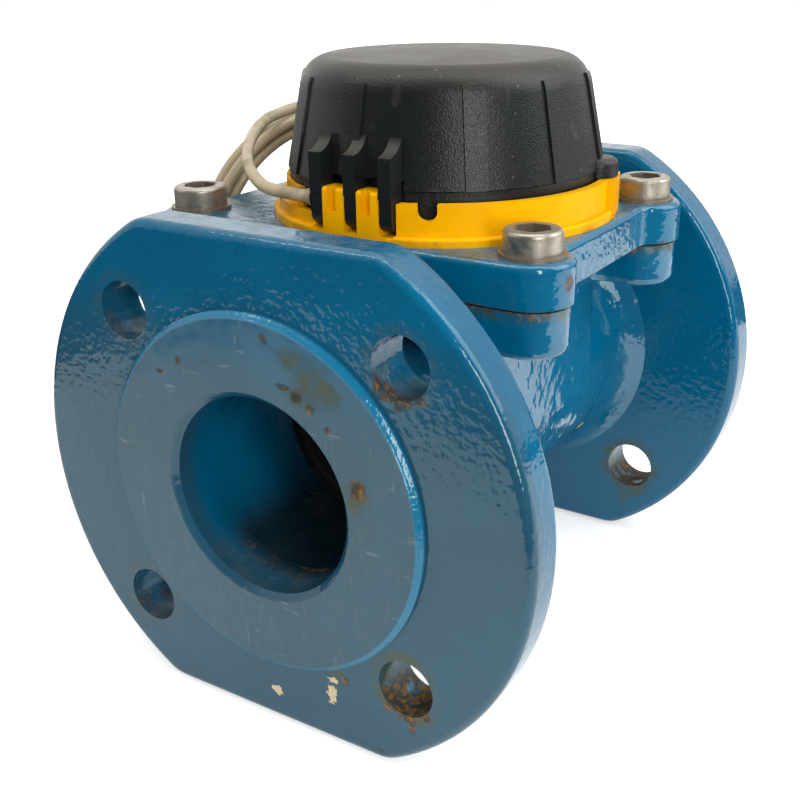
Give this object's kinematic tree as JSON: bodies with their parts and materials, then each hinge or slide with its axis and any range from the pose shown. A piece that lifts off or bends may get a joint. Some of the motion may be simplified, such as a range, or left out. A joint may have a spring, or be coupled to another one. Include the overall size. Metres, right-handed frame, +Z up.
{
  "type": "woltmann water meter",
  "caption": "Flanged turbine water meter: cast barrel with a helical rotor and worm drive, bolted cover, register under a hinged ribbed lid, and a coiled pulse cable.",
  "frame": {"origin": "centre of the box's base, on the ground that the two flanges' lower flats stand on, under the middle of the pipe", "axes": "+Z up through the register, -Y out of the inlet flange, +Y out of the outlet flange, +X to the right seen from the inlet"},
  "size_m": [0.1886, 0.2, 0.2067],
  "materials": {
    "blue_paint": "glossy cast paint",
    "gasket_fibre": "matt",
    "zinc_steel": "weathered zinc plate",
    "stainless_steel": "ground",
    "brass": "machined",
    "grey_plastic": "moulded",
    "white_plastic": "moulded",
    "seal_rubber": "matt",
    "magnet_black": "sintered",
    "yellow_plastic": "moulded",
    "black_plastic": "grained",
    "dial_white": "printed",
    "roller_black": "printed",
    "red_plastic": "moulded",
    "clear_glass": "clear",
    "cable_grey": "sheath"
  },
  "bodies": {
    "meter": {"body_casting": "blue_paint", "inlet_flange": "blue_paint", "outlet_flange": "blue_paint", "cover_gasket": "gasket_fibre", "cover_plate": "blue_paint", "cover_screws": "zinc_steel", "cover_washers": "zinc_steel", "pressure_cup": "brass", "insert_tube": "grey_plastic", "insert_screws": "stainless_steel", "tube_seals": "seal_rubber", "flow_straightener": "grey_plastic", "front_bush": "brass", "rear_carrier": "grey_plastic", "rear_bush": "brass", "spindle_bush": "brass", "register_can": "brass", "movement_plate": "brass", "dial_plate": "dial_white", "roller_frame": "stainless_steel", "roller_axle": "stainless_steel", "register_glass": "clear_glass", "bezel": "black_plastic", "clamp_ring": "yellow_plastic", "ring_screws": "stainless_steel", "hinge_pin": "stainless_steel", "pulse_sensor": "black_plastic", "cable_gland": "cable_grey", "cable_lead": "cable_grey", "cable_coil": "cable_grey"},
    "lid": {"lid": "black_plastic"},
    "rotor": {"rotor": "white_plastic", "rotor_shaft": "stainless_steel", "worm": "white_plastic"},
    "spindle": {"drive_spindle": "stainless_steel", "worm_wheel": "white_plastic", "driver_magnet": "magnet_black"},
    "follower": {"follower_spindle": "stainless_steel", "follower_magnet": "magnet_black", "star_wheel": "red_plastic"},
    "hand_1": {"pointer_1": "red_plastic"},
    "hand_2": {"pointer_2": "red_plastic"},
    "hand_3": {"pointer_3": "red_plastic"},
    "drum_1": {"number_roller_1": "roller_black"},
    "drum_2": {"number_roller_2": "roller_black"},
    "drum_3": {"number_roller_3": "roller_black"},
    "drum_4": {"number_roller_4": "roller_black"},
    "drum_5": {"number_roller_5": "roller_black"},
    "drum_6": {"number_roller_6": "roller_black"}
  },
  "joints": [
    {"name": "lid_hinge", "type": "hinge", "parent": "meter", "child": "lid", "pos_m": [0.0083, -0.0533, 0.1608], "axis": [1, 0, 0], "range_deg": [0, 91]},
    {"name": "rotor_spin", "type": "hinge", "parent": "meter", "child": "rotor", "pos_m": [0, -0.0144, 0.0815], "axis": [0, 1, 0], "continuous": true},
    {"name": "spindle_spin", "type": "hinge", "parent": "meter", "child": "spindle", "pos_m": [0.0083, 0, 0.0815], "axis": [0, 0, 1], "continuous": true},
    {"name": "follower_spin", "type": "hinge", "parent": "meter", "child": "follower", "pos_m": [0.0083, 0, 0.1595], "axis": [0, 0, 1], "continuous": true},
    {"name": "hand_1_spin", "type": "hinge", "parent": "meter", "child": "hand_1", "pos_m": [-0.0117, 0.012, 0.1671], "axis": [0, 0, 1], "continuous": true},
    {"name": "hand_2_spin", "type": "hinge", "parent": "meter", "child": "hand_2", "pos_m": [0.0083, 0.024, 0.1671], "axis": [0, 0, 1], "continuous": true},
    {"name": "hand_3_spin", "type": "hinge", "parent": "meter", "child": "hand_3", "pos_m": [0.0283, 0.012, 0.1671], "axis": [0, 0, 1], "continuous": true},
    {"name": "drum_1_spin", "type": "hinge", "parent": "meter", "child": "drum_1", "pos_m": [0.02255, -0.016, 0.1633], "axis": [1, 0, 0], "continuous": true},
    {"name": "drum_2_spin", "type": "hinge", "parent": "meter", "child": "drum_2", "pos_m": [0.01685, -0.016, 0.1633], "axis": [1, 0, 0], "continuous": true},
    {"name": "drum_3_spin", "type": "hinge", "parent": "meter", "child": "drum_3", "pos_m": [0.01115, -0.016, 0.1633], "axis": [1, 0, 0], "continuous": true},
    {"name": "drum_4_spin", "type": "hinge", "parent": "meter", "child": "drum_4", "pos_m": [0.00545, -0.016, 0.1633], "axis": [1, 0, 0], "continuous": true},
    {"name": "drum_5_spin", "type": "hinge", "parent": "meter", "child": "drum_5", "pos_m": [-0.00025, -0.016, 0.1633], "axis": [1, 0, 0], "continuous": true},
    {"name": "drum_6_spin", "type": "hinge", "parent": "meter", "child": "drum_6", "pos_m": [-0.00595, -0.016, 0.1633], "axis": [1, 0, 0], "continuous": true}
  ],
  "couplings": [
    {"joint": "spindle_spin", "follows": "rotor_spin", "ratio": 0.05},
    {"joint": "follower_spin", "follows": "rotor_spin", "ratio": 0.05},
    {"joint": "hand_1_spin", "follows": "rotor_spin", "ratio": 0.005},
    {"joint": "hand_2_spin", "follows": "rotor_spin", "ratio": 0.0005},
    {"joint": "hand_3_spin", "follows": "rotor_spin", "ratio": 0.00005},
    {"joint": "drum_1_spin", "follows": "rotor_spin", "ratio": 0.00000000005},
    {"joint": "drum_2_spin", "follows": "rotor_spin", "ratio": 0.0000000005},
    {"joint": "drum_3_spin", "follows": "rotor_spin", "ratio": 0.000000005},
    {"joint": "drum_4_spin", "follows": "rotor_spin", "ratio": 0.00000005},
    {"joint": "drum_5_spin", "follows": "rotor_spin", "ratio": 0.0000005},
    {"joint": "drum_6_spin", "follows": "rotor_spin", "ratio": 0.000005}
  ]
}
